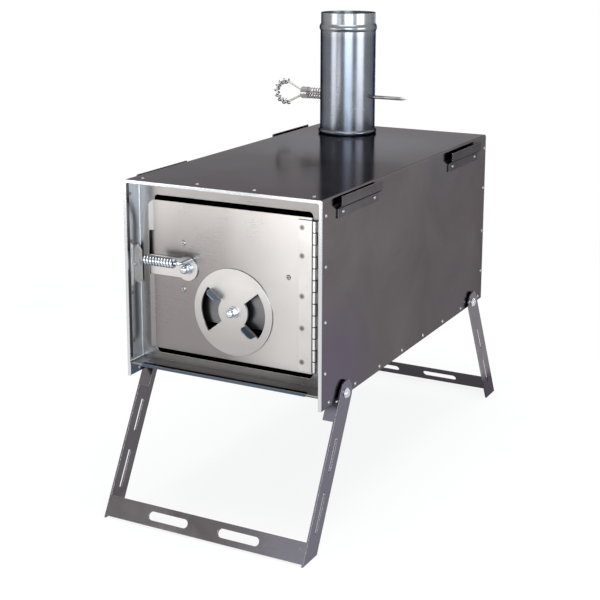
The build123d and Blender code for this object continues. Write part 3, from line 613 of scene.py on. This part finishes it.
# The door's three rivets get painted shade in the middle: two at the left, one at the right in
# between
headRadius = 0.0031
rightRivetDrop = 0.0264
leftX = rivetLow.x + headRadius
rightX = rivetHigh.x - headRadius
hollowShadeLook = {
    "places": [
        (leftX, 0.0, rivetHigh.z - headRadius),
        (leftX, 0.0, rivetLow.z + headRadius),
        (rightX, 0.0, rivetHigh.z - rightRivetDrop),
    ],
    "keep": fromFront,
    "reach": 0.0014,
    "tone": (0.01, 0.01, 0.01),
    "amount": 1.0,
}
doorRivetSteel = metalFinish("doorRivetSteel", rivetLook)
paint(doorRivetSteel, hollowShadeLook)
dress(doorRivetSteel, "door_rivets")

# Plated bolts, nuts and latch handle
platedLook = dict(
    rivetLook,
    dark=(0.46, 0.50, 0.56),
    light=(0.68, 0.70, 0.74),
    roughness=(0.10, 0.2),
)
brightPlated = metalFinish("brightPlated", platedLook)
dress(brightPlated, "pivot_bolts", "pivot_washers", "cap_nuts", "leg_bolts", "leg_spacers")
dress(brightPlated, "leg_nuts", "latch_handle_rod", "latch_handle_coil")

# Galvanized pipe and collar, paler at the pipe's head
pipeLook = dict(
    frontLook,
    dark=(0.112, 0.121, 0.142),
    light=(0.142, 0.153, 0.174),
    line=(0.19, 0.20, 0.22),
    grazing=(0.13, 0.125, 0.14),
    stretch=grainUpright,
    lineScale=260.0,
    cloudScale=26.0,
    lineShade=0.3,
    edgeWidth=0.0005,
    roughness=(0.20, 0.27),
    waveHeight=0.1,
)
headLook = {
    "direction": upward,
    "start": pipeHigh.z - 0.0342,
    "end": pipeHigh.z - 0.0102,
    "tone": (0.24, 0.255, 0.27),
    "amount": 1.0,
}
galvanized = metalFinish("galvanized", pipeLook)
paint(galvanized, headLook)
dress(galvanized, "flue_pipe", "flue_collar")

# Damper: wire rod, spring and bail, and an iron plate inside the pipe
wireLook = dict(
    rivetLook,
    dark=(0.25, 0.24, 0.24),
    light=(0.42, 0.41, 0.40),
    roughness=(0.18, 0.28),
)
damperWire = metalFinish("damperWire", wireLook)
dress(damperWire, "damper_rod", "damper_cup", "damper_spring", "damper_bail", "damper_bail_coil")

ironLook = dict(
    shellLook,
    dark=(0.05, 0.045, 0.043),
    light=(0.10, 0.09, 0.085),
    stretch=grainEven,
    lineScale=500.0,
    roughness=(0.5, 0.65),
)
damperIron = metalFinish("damperIron", ironLook)
dress(damperIron, "damper_plate")

# Front leg frame, bluer towards its right end
legLook = dict(
    shellLook,
    dark=(0.098, 0.090, 0.094),
    light=(0.140, 0.130, 0.137),
    line=(0.18, 0.165, 0.175),
    grazing=(0.55, 0.53, 0.57),
    edge=(0.42, 0.42, 0.45),
    stretch=grainCrosswise,
    cloudScale=18.0,
    markShade=0.15,
    roughness=(0.18, 0.25),
    waveHeight=0.3,
)
blueLook = {
    "direction": rightward,
    "start": legHigh.x - 0.1,
    "end": legHigh.x,
    "tone": (0.195, 0.190, 0.225),
    "amount": 0.9,
}
frontLegSteel = metalFinish("frontLegSteel", legLook)
paint(frontLegSteel, blueLook)
dress(frontLegSteel, "front_leg")

# Rear leg frame: the leg steel with painted light, lighter than the front one, and painted shade
# on the crossbar: the fade's places are heights over the floor
rearLegLitLook = dict(legLook, dark=(0.205, 0.193, 0.197), light=(0.27, 0.256, 0.262))
# Painted shade: the crossbar darkened below 0.045 m over the floor
crossbarShadeLook = {
    "direction": upward,
    "start": 0.045,
    "end": 0.03,
    "tone": (0.060, 0.054, 0.059),
    "amount": 1.0,
}
rearLegSteel = metalFinish("rearLegSteel", rearLegLitLook)
paint(rearLegSteel, crossbarShadeLook)
dress(rearLegSteel, "rear_leg")
print("finishes on every piece")

# Floor: pale where the stove stands, running out into the white background
floorLook = {
    "size": 14.0,
    "colour": (0.93, 0.93, 0.93),
    "roughness": 0.9,
    "specular": 0.0,
    "nearWhite": 0.4,
    "farWhite": 1.4,
    "lift": 0.84,
    "glow": 1.0,
}
half = floorLook["size"] / 2
floorCorners = [(-half, -half, 0.0), (half, -half, 0.0), (half, half, 0.0), (-half, half, 0.0)]
floorMesh = bpy.data.meshes.new("floor")
floorMesh.from_pydata(floorCorners, [], [(0, 1, 2, 3)])
floor = bpy.data.objects.new("floor", floorMesh)
scene.collection.objects.link(floor)
floorMaterial = bpy.data.materials.new("paleFloor")
floorMaterial.use_nodes = True
floorTree = floorMaterial.node_tree
floorShader = floorTree.nodes["Principled BSDF"]
floorValues = {
    "Base Color": opaque(floorLook["colour"]),
    "Roughness": floorLook["roughness"],
    "Specular IOR Level": floorLook["specular"],
}
fill(floorTree, floorShader, floorValues)
floorGlow = addNode(floorTree, "ShaderNodeEmission", {"Strength": floorLook["glow"]})
distance = addNode(
    floorTree, "ShaderNodeVectorMath", {0: objectCoords(floorTree)}, operation="LENGTH"
)
whitening = addNode(
    floorTree,
    "ShaderNodeMapRange",
    {
        "Value": distance.outputs["Value"],
        "From Min": floorLook["nearWhite"],
        "From Max": floorLook["farWhite"],
        "To Min": floorLook["lift"],
    },
    interpolation_type="SMOOTHSTEP",
)
whiteness = compute(floorTree, "MULTIPLY", seenRays(floorTree), whitening.outputs[0])
mixShaders(floorTree, whiteness, floorShader, floorGlow, "Material Output")
floorMesh.materials.append(floorMaterial)

# World: white where it is seen or mirrored, a plain soft light elsewhere
skyLook = {
    "soft": {"Color": (0.95, 0.97, 1.0, 1.0), "Strength": 0.55},
    "white": {"Color": (1.0, 1.0, 1.0, 1.0), "Strength": 1.0},
}
world = bpy.data.worlds.new("studio")
scene.world = world
world.use_nodes = True
worldTree = world.node_tree
softSky = worldTree.nodes["Background"]
fill(worldTree, softSky, skyLook["soft"])
whiteSky = addNode(worldTree, "ShaderNodeBackground", skyLook["white"])
mixShaders(worldTree, seenRays(worldTree), softSky, whiteSky, "World Output")
print("floor and world set")


# World matrix of a lamp or camera, from its right, its up and the way it looks
def facingMatrix(right, up, ahead, place):
    pose = np.eye(4)
    pose[:3, :3] = np.column_stack((right, up, -ahead))
    pose[:3, 3] = place
    return Matrix(pose.tolist())


# Lamps: place, point they face, width and height, and power
lamps = {
    "overhead": {
        "place": (0.1, -0.3, 2.6),
        "faces": (0.0, 0.0, 0.3),
        "size": (2.0, 2.0),
        "power": 42.0,
        "colour": (1.0, 1.0, 1.0),
    },
    "lowFront": {
        "place": (-0.52, -2.05, 0.19),
        "faces": (0.05, -0.2, 0.25),
        "size": (0.60, 0.32),
        "power": 3.0,
        "colour": (1.0, 0.98, 0.95),
    },
    "left": {
        "place": (-1.40, -1.80, 0.30),
        "faces": (-0.03, 0.1, 0.35),
        "size": (0.90, 0.45),
        "power": 8.0,
        "colour": (1.0, 1.0, 0.97),
    },
    "behindCamera": {
        "place": (1.35, -2.45, 0.55),
        "faces": (-0.05, 0.2, 0.40),
        "size": (1.6, 0.9),
        "power": 46.0,
        "colour": (0.80, 0.91, 1.0),
    },
    "rear": {
        "place": (0.10, 2.60, 0.35),
        "faces": (0.0, 0.2, 0.40),
        "size": (0.9, 0.5),
        "power": 16.0,
        "colour": (0.95, 0.97, 1.0),
    },
    "right": {
        "place": (2.35, -0.35, 0.56),
        "faces": (0.0, 0.2, 0.40),
        "size": (1.3, 0.88),
        "power": 28.0,
        "colour": (1.0, 1.0, 1.0),
    },
}
for name, lamp in lamps.items():
    light = bpy.data.lights.new(name, "AREA")
    light.shape = "RECTANGLE"
    light.size, light.size_y = lamp["size"]
    light.energy = lamp["power"]
    light.color = lamp["colour"]
    holder = bpy.data.objects.new(name, light)
    holder.visible_camera = False
    lampAhead = np.array(lamp["faces"]) - np.array(lamp["place"])
    lampAhead /= np.linalg.norm(lampAhead)
    lampRight = np.cross(lampAhead, upward)
    lampRight /= np.linalg.norm(lampRight)
    lampUp = np.cross(lampRight, lampAhead)
    holder.matrix_world = facingMatrix(lampRight, lampUp, lampAhead, lamp["place"])
    scene.collection.objects.link(holder)
print("lamps set,", len(lamps))

# Camera, solved from the firebox's corners in the photograph. Angles are in degrees, the azimuth
# from straight ahead to the left, and the focal length and the centre's row in pixels
view = {
    "place": (0.7409, -1.4465, 0.6750),
    "azimuth": 27.626,
    "elevation": 11.867,
    "roll": 0.13,
    "focal": 1291.0,
    "centreRow": 200.0,
    "imageSize": 600.0,
    "sensorWidth": 36.0,
}
azimuth, elevation, roll = (math.radians(view[key]) for key in ("azimuth", "elevation", "roll"))
cameraAhead = np.array(
    [
        -math.sin(azimuth) * math.cos(elevation),
        math.cos(azimuth) * math.cos(elevation),
        -math.sin(elevation),
    ]
)
level = np.array([math.cos(azimuth), math.sin(azimuth), 0.0])
upright = np.cross(level, cameraAhead)
cameraRight = math.cos(roll) * level + math.sin(roll) * upright
cameraUp = -math.sin(roll) * level + math.cos(roll) * upright
camera = bpy.data.objects.new("camera", bpy.data.cameras.new("camera"))
camera.data.sensor_width = view["sensorWidth"]
camera.data.lens = view["focal"] * view["sensorWidth"] / view["imageSize"]
camera.data.shift_y = (view["centreRow"] - view["imageSize"] / 2) / view["imageSize"]
camera.matrix_world = facingMatrix(cameraRight, cameraUp, cameraAhead, view["place"])
scene.collection.objects.link(camera)
scene.camera = camera
print("camera set")
